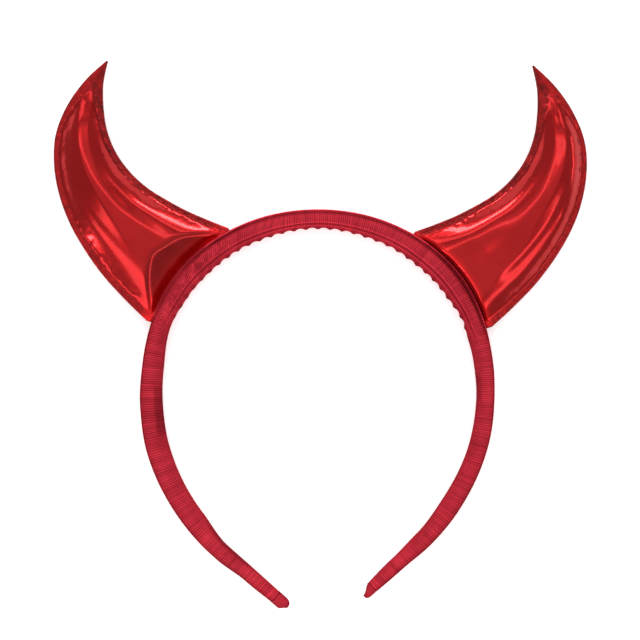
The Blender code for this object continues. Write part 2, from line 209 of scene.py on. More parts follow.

# A lip from the groove to its edge: how far out as a share of its reach, how high as a share of its half
# height, how much of the ribs it takes, and how light its colour is, with painted shade by the groove and a
# painted highlight along its raised edge.
LIP = np.array((
    (0.20, 0.70, 0.5, 0.55),
    (0.50, 0.92, 0.8, 1.00),
    (0.78, 1.00, 0.9, 1.55),
    (0.94, 0.86, 0.8, 1.60),
    (1.00, 0.55, 0.3, 1.00),
))

# The horns: name, side, station along the band, lean in degrees, reach, rise, and width of the base.
HORNS = (
    ("horn_left", -1, 0.0574, 0.35, 0.0796, 0.0429, 0.0492),
    ("horn_right", 1, 0.0600, 1.80, 0.0787, 0.0449, 0.0490),
)
PANEL_WALL = 0.0010
SEAM_ALLOWANCE = 0.0033
SEAM_MOST = 0.40
BASE_BORDER = 0.0010
FRONT_PUFF = 0.0085
BACK_PUFF = 0.00455

# At its base the right horn rises in a step and a slope, each with its reach, and the left one in a plain
# slope. The step's reach is shorter beside the seams. The slopes bend softly where they end.
BASE_RISE = 0.0008
BASE_RISE_AT_SEAM = 0.45
BASE_STEP = 0.84
BASE_SLOPE_REACH = 0.012
BASE_SOFTNESS = 0.045
LEFT_BASE_SLOPE = math.tan(math.radians(35.0))
LEFT_BASE_SOFTNESS = 0.00030

# The left slope's colour is darker, as painted shade that also hides the bright reflected line where it
# bends, and fades over this share of the puff. Close to the band the vinyl is lighter, as painted light
# against the dark reflection of the ribbon: by how much, and within what distance.
BASE_DARKNESS = 0.30
BASE_FADE = 0.13
BASE_LIGHTS = {-1: (1.6, 0.0038), 1: (1.7, 0.0020)}

# The crown across a horn on each side of its middle, its shoulder and fillet beside the seams, and how narrow
# the puffed part is when it starts to close at the tip. Then how much wider the flat border grows towards the
# tip and between which shares of the way, and the gap that is kept between pieces.
OUTER_CROWN_POWERS = {-1: 1.5, 1: 2.6}
INNER_CROWN_POWER = 2.1
SEAM_SHOULDER = 0.95
SEAM_FILLET = 0.0006
TIP_CLOSING = 0.0065
TIP_ALLOWANCE = 0.0014
TIP_ALLOWANCE_COURSE = (0.70, 0.95)
PIECE_GAP = 0.0003

# The stuffing's distance from the seams, its unevenness with its wavelength, its least half thickness at the
# rim, and how full the soft pieces are.
STUFFING_INSET = 0.0014
STUFFING_UNEVENNESS = 0.0001
STUFFING_UNEVEN_LENGTH = 0.006
STUFFING_LEAST = 0.0001

# Sections of a horn from base to tip: reach, rise and width as shares of the horn's own, tilt, and puff.
HORN_SECTIONS = np.array((
    (0.000, 0.000, 1.000, -1.6, 0.86),
    (0.131, -0.026, 0.929, -6.2, 0.96),
    (0.263, -0.042, 0.853, -11.2, 1.00),
    (0.393, -0.033, 0.772, -16.6, 1.00),
    (0.523, -0.002, 0.685, -23.3, 0.96),
    (0.648, 0.068, 0.598, -30.0, 0.90),
    (0.764, 0.182, 0.509, -37.2, 0.80),
    (0.863, 0.343, 0.416, -44.8, 0.60),
    (0.933, 0.545, 0.297, -51.6, 0.36),
    (0.980, 0.769, 0.154, -57.9, 0.17),
    (1.000, 1.000, 0.014, -64.0, 0.00),
))

# Long soft dents in a horn: the place of the middle from base to tip and from the outer edge to the inner
# one, the length and breadth as shares of those two ways, and the depth as a share of the puff.
HORN_DENTS = (
    (0.16, 0.60, 0.16, 0.12, 0.14),
    (0.44, 0.36, 0.22, 0.10, 0.10),
    (0.62, 0.66, 0.16, 0.10, 0.08),
)

# Long creases along a horn: its side, where it starts and ends from base to tip and from the outer edge to
# the inner one, the depth, and the half breadth as a share of the way across. Then where along it it is full.
HORN_CREASES = (
    (1, 0.02, 0.24, 0.62, 0.25, 0.00060, 0.060),
    (1, 0.45, 0.52, 0.95, 0.50, 0.00025, 0.050),
    (-1, 0.45, 0.55, 0.92, 0.58, 0.00025, 0.050),
    (-1, 0.10, 0.70, 0.50, 0.66, 0.00020, 0.050),
)
CREASE_COURSE = (0.0, 0.3, 0.7, 1.0)

# The unevenness of the vinyl, with its wavelengths: of the puffed part, drawn out along the horn, with how
# much of it the border takes, then of the border, and finer there.
UNEVENNESS = 0.00007
UNEVEN_LENGTH = 0.060
UNEVEN_SPAN = (0.100, 0.300)
UNEVEN_BORDER = 0.25
BORDER_RIPPLE = 0.00014
BORDER_RIPPLE_LENGTH = 0.016
BORDER_CRUMPLE = 0.00005
BORDER_CRUMPLE_LENGTH = 0.0045

# The puckers beside the stitches: how high, how far they reach, their own unevenness with its wavelength, and
# how far from the horn's edge they set in.
PUCKER = 0.00002
PUCKER_REACH = 0.0018
PUCKER_WOBBLE = 0.5
PUCKER_WOBBLE_LENGTH = 0.010
PUCKER_FROM_EDGE = (0.0010, 0.0030)

# All this grows inwards from the border over the first distance and away from the band over the second, and
# ends at a share of the way to the tip. The cut rim is rounded, and its wall thinner.
INSIDE_REACH = 0.004
FREE_REACH = 0.010
FREE_END = 0.9
RIM_ROUNDING = 0.00035
RIM_WALL = 0.55

# How the vinyl's colour darkens: in the stitches' holes as painted shade, along the cut rim, and on the
# border as painted shade for its wavy reflections, there also by mottling of two wavelengths and more so on
# the horn's inner side.
HOLE_SHADE = 0.40
RIM_SHADE = 0.25
RIM_WIDTH = 0.00028
BORDER_SHADE = 0.16
BORDER_FADE = 0.0012
BORDER_MOTTLE = 0.12
BORDER_MOTTLE_LENGTHS = (0.0040, 0.0017)
INNER_BORDER_SHADE = 0.26
INNER_SIDE = (0.4, 0.6)
INSIDE_SHADE = 0.6

# The stitched seam round a horn. A stitch runs along these shares of the pitch, and dips as far at each.
STITCH_LINE = 0.0022
STITCH_PITCH = 0.0030
STITCH_DIMPLE = 0.00003
STITCH_SPREAD = 0.00024
STITCH_JITTER = 0.1
STITCH_COURSE = np.array((-0.16, -0.12, -0.05, 0.05, 0.12, 0.16))
STITCH_LIFTS = np.array((-0.00030, -0.00012, -0.00001, -0.00001, -0.00012, -0.00030))
THREAD_RADIUS = 0.00008
THREAD_SIDES = 6

# The cut corner of each folded tab, on the outer side at the left and on the inner side at the right: where
# it starts along the tab, and how much of the half width it takes.
TAB_CUTS = {-1: (0.55, 0.80), 1: (0.05, 1.05)}

# The folded tabs: length and width, how square their section and how round their end is, how deep and wide
# they are at the end, their wrinkles and crumpling, and how dark their edges, wrinkles and folds are, as
# painted shade where they turn away and in the folds, and painted light and shade across the wrinkles.
FOLDS = {-1: (0.0068, 0.0052), 1: (0.0056, 0.0046)}
TAB_POWER = 0.72
TAB_END_POWER = 6
TAB_EDGE_POWER = 4
TAB_DEPTH = 0.96
TAB_END_DEPTH = 0.30
TAB_END_WIDTH = 0.25
TAB_WRINKLE = 0.00020
TAB_WRINKLE_TURNS = 42
TAB_WRINKLE_REACH = 0.45
TAB_WRINKLE_MIDDLE = 0.4
TAB_CRUMPLE = 0.00010
TAB_CRUMPLE_LENGTH = 0.003
TAB_LIGHT = 0.86
TAB_EDGE_SHADE = 0.40
TAB_WRINKLE_SHADE = 0.25
TAB_FOLD_SHADE = 0.45
TAB_FOLDS = ((0.86, 0.05), (0.0, 0.06))

# How fine the meshes are: rows, columns on each border, and columns between them. The rows are closer at the
# base and at the tab's end, by the spacing. The fillings stop short of the tip by some rows.
PANEL_ROWS = 300
FLANGE_COLUMNS = 9
SEAM_COLUMN = 3
PUFF_COLUMNS = 66
ROW_SPACING = 0.45
FILLING_GRID = (40, 2, 20)
FILLING_SHORT_BY = 6
TAB_ROWS = 40
TAB_AROUND = 56
TAB_SPACING = 0.75
TAB_LAST_ROW = 0.998

FLOOR_SIZE = 4.0
FLOOR_DROP = 0.0001
FLOOR_GLOW = 0.35

# The camera looks straight down at the part, as the photograph does.
CAMERA_PLACE = (0.0008, -0.03995, 1.0)
CAMERA_LENS = 141.4
CAMERA_CLIP = 0.01

SIDES = {-1: "left", 1: "right"}
SEEDS = {"ribs": 7, "ribbon": 11, "mottle": 21, "tab": 31, "vinyl": 40, "stuffing": 60, "thread": 70}


def mix(start, end, share):
    return start + (end - start) * share


def smoothstep(low, high, value):
    share = np.clip((value - low) / (high - low), 0.0, 1.0)
    return share * share * (3 - 2 * share)


def course(stops, value):
    """1 from the second stop to the third, and fading to 0 at the first and the last."""
    return smoothstep(stops[0], stops[1], value) * (1 - smoothstep(stops[2], stops[3], value))


def waves(points, wavelength, seed, count=14):
    """Soft unevenness between about -1 and 1: a sum of plane waves in random directions."""
    random = np.random.default_rng(seed)
    total = np.zeros(points.shape[:-1])
    for _ in range(count):
        direction = random.normal(size=points.shape[-1])
        direction /= np.linalg.norm(direction)
        length = wavelength * random.uniform(0.7, 1.5)
        total += np.sin(2 * np.pi * (points @ direction / length + random.uniform()))
    return total / math.sqrt(count)


def bend(value, softness):
    """Flat below zero and rising steadily beyond it, with a soft bend between."""
    return softness * np.logaddexp(0.0, value / softness)


def side_length(side):
    return sum(radius * sweep for radius, sweep in ARCS) + LEGS[side]


def centreline(place):
    """Points, directions to the right along the band, and directions outwards, at signed distances from the
    crown, negative to the left."""
    side = np.where(place < 0, -1.0, 1.0)
    left_over = np.abs(place)
    heading = np.zeros_like(left_over)
    x = np.zeros_like(left_over)
    y = np.zeros_like(left_over)
    for radius, sweep in ARCS:
        turned = np.minimum(left_over / radius, sweep)
        chord = 2 * radius * np.sin(turned / 2)
        x = x + chord * np.cos(heading - turned / 2)
        y = y + chord * np.sin(heading - turned / 2)
        heading = heading - turned
        left_over = left_over - turned * radius
    x = x + left_over * np.cos(heading)
    y = y + left_over * np.sin(heading)
    point = np.stack((x * side, y), axis=-1)
    rightwards = np.stack((np.cos(heading), np.sin(heading) * side), axis=-1)
    outwards = np.stack((-np.sin(heading) * side, np.cos(heading)), axis=-1)
    return point, rightwards, outwards


def band_edges(place):
    """How far the sleeve's inner and outer edges lie outwards from the centreline."""
    left = place < 0
    share = np.abs(place) / np.where(left, side_length(-1), side_length(1))
    rows = BAND_SECTIONS
    index = np.clip(np.searchsorted(rows[:, 0], share, side="right") - 1, 0, len(rows) - 2)
    part = smoothstep(rows[index, 0], rows[index + 1, 0], share)[..., None]
    found = mix(rows[index], rows[index + 1], part) * BAND_WIDTH
    width = np.where(left, found[..., 1], found[..., 3])
    shift = np.where(left, found[..., 2], found[..., 4])
    return shift - width / 2, shift + width / 2


def band_half_depth(place):
    leg = np.where(place < 0, LEGS[-1], LEGS[1])
    length = np.where(place < 0, side_length(-1), side_length(1))
    share = smoothstep(length - 2 * leg, length, np.abs(place))
    return mix(BAND_DEPTH, TIP_DEPTH, share) / 2


class Horn:
    """The shape of one horn, as a function of where a point is from base to tip and from edge to edge."""

    def __init__(self, row):
        self.name, self.side, station, lean, self.reach, self.rise, self.width = row
        base, rightwards, outwards = centreline(np.array(self.side * station))
        onwards = rightwards * self.side
        lean = math.radians(lean)
        self.base = base
        self.out = outwards * math.cos(lean) - onwards * math.sin(lean)
        self.up = -outwards * math.sin(lean) - onwards * math.cos(lean)
        corners = []
        for across in (1.0, 0.0):
            along = self.start(np.array([across]), BASE_BORDER)
            corners.append(self.nearest_station(self.point(along, np.array([across])))[0])
        self.upper_corner, self.lower_corner = corners

    def section(self, along):
        """The middle of each section, the direction across it, its width and its puff."""
        rows = HORN_SECTIONS
        last = len(rows) - 1
        index = np.clip((along * last).astype(int), 0, last - 1)
        part = (along * last - index)[..., None]
        before = rows[np.clip(index - 1, 0, last)]
        start = rows[index]
        end = rows[index + 1]
        after = rows[np.clip(index + 2, 0, last)]
        leave = (end - before) / 2
        arrive = (after - start) / 2
        second = 3 * (end - start) - 2 * leave - arrive
        third = 2 * (start - end) + leave + arrive
        found = start + part * (leave + part * (second + part * third))
        middle = self.base + self.out * found[..., 0:1] * self.reach + self.up * found[..., 1:2] * self.rise
        tilt = np.radians(found[..., 3:4])
        across = self.out * np.sin(tilt) + self.up * np.cos(tilt)
        return middle, across, found[..., 2] * self.width, found[..., 4]

    def point(self, along, across):
        middle, direction, width, _ = self.section(along)
        return middle + direction * (width * (across - 0.5))[..., None]

    def nearest_station(self, point):
        low = np.zeros(point.shape[:-1])
        high = np.full(point.shape[:-1], side_length(self.side))
        for _ in range(30):
            middle = (low + high) / 2
            place, rightwards, _ = centreline(self.side * middle)
            ahead = np.sum((point - place) * rightwards, axis=-1) * self.side > 0
            low = np.where(ahead, middle, low)
            high = np.where(ahead, high, middle)
        return (low + high) / 2

    def band_distance(self, point):
        """How far a plan point lies outside the ribbon's outer edge."""
        place = self.side * self.nearest_station(point)
        centre, _, outwards = centreline(place)
        return np.sum((point - centre) * outwards, axis=-1) - band_edges(place)[1]

    def start(self, across, distance):
        """The share from base to tip at which each way up the horn is this far outside the ribbon."""
        low = np.zeros_like(across)
        high = np.full_like(across, 0.3)
        for _ in range(24):
            middle = (low + high) / 2
            inside = self.band_distance(self.point(middle, across)) < distance
            low = np.where(inside, middle, low)
            high = np.where(inside, high, middle)
        return (low + high) / 2

    def allowance(self, along):
        """The width of the flat border, wider towards the tip."""
        return SEAM_ALLOWANCE + TIP_ALLOWANCE * smoothstep(*TIP_ALLOWANCE_COURSE, along)

    def seam_share(self, along, inset=0.0):
        return np.minimum((self.allowance(along) + inset) / self.section(along)[2], SEAM_MOST)

    def seat(self, point):
        """The plan point at the bottom of the ribbon's slot beside this one."""
        place = self.side * self.nearest_station(point)
        centre, _, outwards = centreline(place)
        outer = band_edges(place)[1]
        return centre + outwards * (outer - SLOT_FLOOR + PIECE_GAP)[..., None]

    def height(self, along, across, inset=0.0):
        """The puff at a plan point as a share of the panel's, from 0 at the seams and at the band."""
        _, _, width, puff = self.section(along)
        border = self.allowance(along) + inset
        edge = bend(np.minimum(across, 1 - across) * width - border, SEAM_FILLET)
        half = np.maximum(width / 2 - border, 1e-6)
        off_middle = 1 - np.clip(edge / half, 0.0, 1.0)
        power = np.where(across < 0.5, OUTER_CROWN_POWERS[self.side], INNER_CROWN_POWER)
        crown = (1 - off_middle**power) ** SEAM_SHOULDER
        crown *= smoothstep(0.0, TIP_CLOSING, width / 2 - border)
        dented = np.ones_like(crown)
        for place, middle, length, breadth, depth in HORN_DENTS:
            dented -= depth * np.exp(-(((along - place) / length) ** 2) - ((across - middle) / breadth) ** 2)
        full = puff * crown * dented
        from_band = self.band_distance(self.point(along, across)) - BASE_BORDER - inset
        if self.side < 0:
            slope = LEFT_BASE_SLOPE / FRONT_PUFF * np.clip(from_band, 0.0, None)
            softness = LEFT_BASE_SOFTNESS / FRONT_PUFF
            return np.clip(slope - bend(slope - full, softness), 0.0, None)
        middle = np.clip(4 * across * (1 - across), 0.0, 1.0)
        reach = BASE_RISE * mix(BASE_RISE_AT_SEAM, 1, middle)
        rise = 0.0
        for part, length in ((BASE_STEP, reach), (1 - BASE_STEP, BASE_SLOPE_REACH)):
            left = 1 - np.clip(from_band, 0.0, None) / length
            rise = rise + part * (1 - bend(left, BASE_SOFTNESS) / bend(1.0, BASE_SOFTNESS))
        return full * rise


def new_object(name, data):
    made = bpy.data.objects.new(name, data)
    bpy.context.scene.collection.objects.link(made)
    return made


def add_piece(name, points, faces, material, nodes, shade=None, uv=None):
    """A mesh piece that rides on the root body and stands for these CAD nodes."""
    mesh = bpy.data.meshes.new(name)
    mesh.from_pydata(points.reshape(-1, 3).tolist(), [], faces)
    mesh.materials.append(material)
    if shade is not None:
        layer = mesh.attributes.new("shade", "FLOAT", "POINT")
        layer.data.foreach_set("value", shade.reshape(-1).astype(np.float32))
    if uv is not None:
        corners = np.empty(len(mesh.loops), dtype=np.int64)
        mesh.loops.foreach_get("vertex_index", corners)
        layer = mesh.uv_layers.new(name="cloth")
        layer.data.foreach_set("uv", uv.reshape(-1, 2)[corners].astype(np.float32).reshape(-1))
    mesh.shade_smooth()
    mesh.validate()
    piece = new_object(name, mesh)
    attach(piece, "root")
    if nodes:
        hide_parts(*nodes)
    return piece


def grid_faces(rows, columns, start=0, flip=False):
    """Quads of a grid of points stored row by row from this index on."""
    corner = (np.arange(rows - 1)[:, None] * columns + np.arange(columns - 1)[None, :]).reshape(-1) + start
    quads = np.stack((corner, corner + 1, corner + columns + 1, corner + columns), axis=-1)
    if flip:
        quads = quads[:, ::-1]
    return quads


def shell_faces(rows, columns, flip):
    """Quads of two grids of points, outer then inner, closed round their rims."""
    count = rows * columns
    outer = grid_faces(rows, columns, 0, flip)
    inner = grid_faces(rows, columns, count, not flip)
    index = np.arange(count).reshape(rows, columns)
    rim = np.concatenate((index[0, :-1], index[:-1, -1], index[-1, :0:-1], index[:0:-1, 0]))
    after = np.roll(rim, -1)
    side = np.stack((after, rim, rim + count, after + count), axis=-1)
    if flip:
        side = side[:, ::-1]
    return np.concatenate((outer, inner, side)).tolist()


def grid_normals(points):
    """Unit normals of a grid of points."""
    down = np.gradient(points, axis=0)
    across = np.gradient(points, axis=1)
    normal = np.cross(down, across)
    return normal / np.maximum(np.linalg.norm(normal, axis=-1, keepdims=True), 1e-12)


def slot_half(place, horns):
    """Half the slot's width: open where a horn's base is in it, and closed beyond."""
    station = np.abs(place)
    upper = np.where(place < 0, horns[-1].upper_corner, horns[1].upper_corner)
    lower = np.where(place < 0, horns[-1].lower_corner, horns[1].lower_corner)
    beyond = np.maximum(np.maximum(upper - station, station - lower), 0.0)
    closing = smoothstep(SLOT_MARGIN, SLOT_MARGIN + SLOT_RUNOUT, beyond)
    return mix(SLOT_HALF_OPEN, SLOT_HALF_CLOSED, closing)


def rib_places():
    """Where the valleys between the ribs lie, from the left end of the sleeve to the right one."""
    random = np.random.default_rng(SEEDS["ribs"])
    left_end = -(side_length(-1) - FOLDS[-1][0])
    right_end = side_length(1) - FOLDS[1][0]
    count = round((right_end - left_end) / RIB_PITCH)
    steps = 1 + RIB_SPREAD * random.uniform(-1, 1, count)
    valleys = np.concatenate(([0.0], np.cumsum(steps)))
    return left_end + valleys * (right_end - left_end) / valleys[-1]


def make_ribbon(horns, material):
    """The sleeve as one loft of sections, four to a rib."""
    random = np.random.default_rng(SEEDS["ribbon"])
    valleys = rib_places()
    ribs = len(valleys) - 1
    place = (valleys[:-1, None] + np.diff(valleys)[:, None] * RIB_PHASES).reshape(-1)
    depth = random.uniform(*RIB_DEPTH_RANGE, ribs + 1)
    gap_dark = random.uniform(*VALLEY_DARKNESS, ribs + 1)
    near_end = np.exp(-np.minimum(valleys[:-1] - valleys[0], valleys[-1] - valleys[:-1]) / END_CREASES)
    rib_light = 1 + (RIB_UNEVENNESS + END_UNEVENNESS * near_end) * random.normal(size=ribs)
    heights = RIB_HEIGHTS * np.stack((depth[:-1], depth[:-1], depth[:-1], depth[1:]), axis=-1)
    lights = np.tile(rib_light[:, None], (1, len(RIB_PHASES)))
    # Painted shade in the valleys between the ribs, and a little on the ribs beside them.
    lights[:, 0] *= 1 - gap_dark[:-1]
    lights[:, 1] *= 1 - AFTER_VALLEY * gap_dark[:-1]
    lights[:, 3] *= 1 - BEFORE_VALLEY * gap_dark[1:]
    place = np.append(place, valleys[-1])
    heights = np.append(heights.reshape(-1), -depth[-1])
    lights = np.append(lights.reshape(-1), LAST_VALLEY_LIGHT)

    gathered_end = np.where(place < 0, GATHERS[-1], GATHERS[1])
    gathered = 1 - smoothstep(gathered_end - 2 * GATHER_PITCH, gathered_end, np.abs(place))
    tube = mix(PLAIN_TUBE, GATHERED_TUBE, gathered[:, None, None])
    tube = tube[:, ::-1]
    lip = np.broadcast_to(LIP[::-1], (len(place), *LIP.shape))
    inner, outer = band_edges(place)
    lip_reach = LIP_REACH * mix(LEG_LIP_SHARE, 1, gathered)
    groove = outer - lip_reach
    half = band_half_depth(place) * RIBBON_TOP
    slot = slot_half(place, horns)
    off_point = (np.mod(np.abs(place) / GATHER_PITCH + 0.5, 1.0) - 0.5) * GATHER_PITCH
    lump = np.exp(-((off_point / GATHER_SPREAD) ** 2))
    curve = np.abs(np.sin(np.pi * off_point / GATHER_PITCH))
    shallow = 1 - SHALLOWER * smoothstep(*SHALLOW, -place)
    rise = GATHER_POINT_SHARE * (1 - lump) + (1 - GATHER_POINT_SHARE) * curve
    arch = GATHER_RISE * rise * gathered * shallow

    ones = np.ones((len(place), 1))
    tube_offset = mix(inner[:, None], groove[:, None], tube[..., 0]) + arch[:, None] * tube[..., 3]
    lip_offset = groove[:, None] + lip_reach[:, None] * lip[..., 0]
    slot_offset = outer[:, None] - (SLOT_FLOOR, SLOT_RIM)
    front_offset = np.concatenate((slot_offset, lip_offset, tube_offset), axis=1)
    lip_up = (slot + LIP_WALL)[:, None] * lip[..., 1]
    tube_up = half[:, None] * tube[..., 1]
    front_up = np.concatenate((slot[:, None], slot[:, None], lip_up, tube_up), axis=1)
    front_rib = np.concatenate((0 * ones, 0 * ones, lip[..., 2], tube[..., 2]), axis=1)
    # Painted highlights on the beads, fading on the left shoulder, and painted shade in the gathers' drawn-in
    # points.
    bead = tube[..., 4] > BEAD_LIGHT
    faded = (course(BEADLESS, place) * gathered)[:, None]
    tube_light = tube[..., 4] + (1.0 - tube[..., 4]) * BEAD_LOSS * faded * bead
    tube_light = tube_light * (1 - GATHER_SHADE * (lump * gathered)[:, None] * tube[..., 3])
    front_light = np.concatenate((ones * SLOT_LIGHTS, lip[..., 3], tube_light), axis=1)
    up = np.concatenate((front_up, -front_up[:, -2::-1]), axis=1)
    fronts = (front_offset, front_rib, front_light)
    offset, rib, light = (np.concatenate((front, front[:, -2::-1]), axis=1) for front in fronts)

    outside = np.clip((offset - inner[:, None]) / (outer - inner)[:, None], 0.0, 1.0)
    strip_edge = np.interp(place, STRIP[:, 0], STRIP[:, 1])[:, None]
    strip = gathered[:, None] * smoothstep(strip_edge, strip_edge + STRIP_FADE, outside)
    rib = rib * (1 - STRIP_SMOOTHNESS * strip)

    turn_offset = np.gradient(offset, axis=1)
    turn_up = np.gradient(up, axis=1)
    size = np.maximum(np.hypot(turn_offset, turn_up), 1e-9)
    lift = RIB_DEPTH * heights[:, None] * rib
    offset = offset + turn_up / size * lift
    up = up - turn_offset / size * lift

    slant = SLANT * course(SLANTED, place)
    off_middle = offset - 0.5 * (inner + outer)[:, None]
    shifted = place[:, None] + slant[:, None] * off_middle * (rib > SLANTED_RIB)
    point, _, outwards = centreline(shifted)
    plan = point + outwards * offset[..., None]
    height = np.clip(MIDDLE + up, 0.0, None)
    points = np.concatenate((plan, height[..., None]), axis=-1)

    rings, around = offset.shape
    quads = grid_faces(rings, around)
    first = np.arange(rings - 1) * around
    closing = np.stack((first + around - 1, first, first + around, first + 2 * around - 1), axis=-1)
    faces = np.concatenate((quads, closing))[:, ::-1].tolist()
    faces.append(list(range(around)))
    faces.append(list(range(rings * around - 1, (rings - 1) * around - 1, -1)))

    light = mix(light, STRIP_LIGHT, strip)
    # Painted light and shade along the band.
    light *= np.interp(np.abs(place), PAINTED_LIGHT_ALONG[:, 0], PAINTED_LIGHT_ALONG[:, 1])[:, None]
    shade = light * (1 + (lights[:, None] - 1) * np.clip(rib * RIB_LIGHT_GAIN, 0, 1))
    # Painted shade of the folds on the legs' inner side.
    for side, first, last, reach, dark in FOLD_SHADES:
        way = (side * place - first) / (last - first)
        inside_it = course(FOLD_COURSE, way)[:, None]
        shade *= 1 - dark * inside_it * (1 - smoothstep(FOLD_FULL * reach, reach, outside))
    dots = np.repeat(random.normal(size=(ribs, around)), len(RIB_PHASES), axis=0)
    dots = np.concatenate((dots, dots[-1:]))
    dotted = course(DOTTED, place)[:, None] * (1 - strip) * smoothstep(*DOTS_ACROSS, outside)
    shade *= 1 + DOT_CONTRAST * np.clip(dots, -1.0, 2.0) * dotted
    shade *= 1 + RIBBON_MOTTLE * waves(points, RIBBON_MOTTLE_LENGTH, SEEDS["mottle"])
    step = np.hypot(np.diff(offset, axis=1), np.diff(up, axis=1))
    girth = np.concatenate((np.zeros((rings, 1)), np.cumsum(step, axis=1)), axis=1)
    uv = np.stack((np.broadcast_to(place[:, None], girth.shape), girth), axis=-1) * UV_PER_METRE
    return add_piece("ribbon_sleeve", points, faces, material, ["band_sleeve"], shade, uv)


def make_ribbon_end(side, material):
    """The folded tab of ribbon that closes one end of the band."""
    length, width = FOLDS[side]
    end = side_length(side)
    inner, outer = band_edges(np.array(side * (end - length)))
    middle = (inner + outer) / 2
    depth = 2 * float(band_half_depth(np.array(side * float(end))))
    share = np.linspace(0.0, 1.0, TAB_ROWS) ** TAB_SPACING
    share[-1] = TAB_LAST_ROW
    angle = np.linspace(0.0, 2 * np.pi, TAB_AROUND, endpoint=False)
    rounding = np.sqrt(1 - share**TAB_END_POWER)
    across = np.sign(np.cos(angle)) * np.abs(np.cos(angle)) ** TAB_POWER
    above = np.sign(np.sin(angle)) * np.abs(np.sin(angle)) ** TAB_POWER
    half_depth = depth / 2 * mix(TAB_END_DEPTH, 1, rounding) * TAB_DEPTH
    first_cut, cut = TAB_CUTS[side]
    full = width / 2 * mix(TAB_END_WIDTH, 1, rounding)
    cut_back = full * (1 - cut * smoothstep(first_cut, 1.0, share))
    inward, outward = (full, cut_back) if side < 0 else (cut_back, full)
    half_width = (inward + outward) / 2
    offset = middle + ((outward - inward) / 2)[:, None] + half_width[:, None] * across[None]
    up = half_depth[:, None] * above[None]
    place = side * (end - length + PIECE_GAP / 4 + share * (length - PIECE_GAP))
    place = np.broadcast_to(place[:, None], offset.shape)
    crease = (np.exp(-((share / TAB_WRINKLE_REACH) ** 2)) * np.sin(share * TAB_WRINKLE_TURNS))[:, None]
    wrinkle = TAB_WRINKLE * crease * mix(TAB_WRINKLE_MIDDLE, 1, np.abs(across))
    offset = offset + wrinkle * across[None]
    up = up + wrinkle * above[None]
    point, _, outwards = centreline(place)
    plan = point + outwards * offset[..., None]
    points = np.concatenate((plan, (MIDDLE + up)[..., None]), axis=-1)
    points[..., 2] += TAB_CRUMPLE * waves(points, TAB_CRUMPLE_LENGTH, SEEDS["tab"] + side)
    index = np.arange(TAB_ROWS * TAB_AROUND).reshape(TAB_ROWS, TAB_AROUND)
    here = index[:-1]
    nxt = index[1:]
    quads = np.stack((here, np.roll(here, -1, axis=1), np.roll(nxt, -1, axis=1), nxt), axis=-1).reshape(-1, 4)
    faces = quads[:, ::-side].tolist()
    faces.append(index[0, ::side].tolist())
    faces.append(index[-1, ::-side].tolist())
    # Painted shade on the tab's edges and folds, and painted light and shade across its wrinkles.
    edge = np.abs(across) ** TAB_EDGE_POWER
    fold = sum(np.exp(-(((share - spot) / reach) ** 2)) for spot, reach in TAB_FOLDS)
    shade = (TAB_LIGHT - TAB_EDGE_SHADE * edge) * (1 - TAB_FOLD_SHADE * fold)[:, None]
    shade = shade * (1 + TAB_WRINKLE_SHADE * crease)
    uv = np.stack((place, np.broadcast_to(angle[None] * width / 2, place.shape)), axis=-1) * UV_PER_METRE
    name = "ribbon_end_" + SIDES[side]
    return add_piece(name, points, faces, material, ["end_fold_" + SIDES[side]], shade, uv)


def panel_grid(horn, rows, flange, puffed, inset=0.0):
    """Shares along and across a horn at the points of a panel's grid."""
    edge_step = np.linspace(0.0, 1.0, flange + 1)
    spread = np.linspace(0.0, 1.0, puffed + 1)
    # Half of the way evenly spaced, and half closer towards the seams.
    spread = 0.5 * spread + 0.5 * (1 - np.cos(np.pi * spread)) / 2
    seam_first = horn.seam_share(np.array([0.05]))[0]
    parts = edge_step[:-1] * seam_first, seam_first + (1 - 2 * seam_first) * spread
    first_across = np.concatenate((*parts, 1 - parts[0][::-1]))
    starts = horn.start(first_across, BASE_BORDER + inset)
    share = np.linspace(0.0, 1.0, rows)
    share = share * mix(ROW_SPACING, 1, share)
    along = starts[None] + (1 - starts[None]) * share[:, None]
    seam = horn.seam_share(along)
    columns = len(first_across)
    across = np.empty_like(along)
    across[:, :flange] = edge_step[:-1] * seam[:, :flange]
    seam_beside = seam[:, flange : columns - flange]
    across[:, flange : columns - flange] = seam_beside + (1 - 2 * seam_beside) * spread
    across[:, columns - flange :] = 1 - seam[:, columns - flange :] * edge_step[:-1][::-1]
    return along, across


def stitch_stations(horn, along, across):
    """Distances along the seam beside each point, and how far the point is from the horn's edge.

    The seam's length is that of one column of the border."""
    plan = horn.point(along, across)
    width = horn.section(along)[2]
    edge = np.minimum(across, 1 - across) * width
    half = along.shape[1] // 2
    line = np.empty_like(edge)
    for columns, rim in ((slice(0, half), SEAM_COLUMN), (slice(half, None), -1 - SEAM_COLUMN)):
        steps = np.linalg.norm(np.diff(plan[:, rim], axis=0), axis=-1)
        line[:, columns] = np.concatenate(([0.0], np.cumsum(steps)))[:, None]
    return line, edge


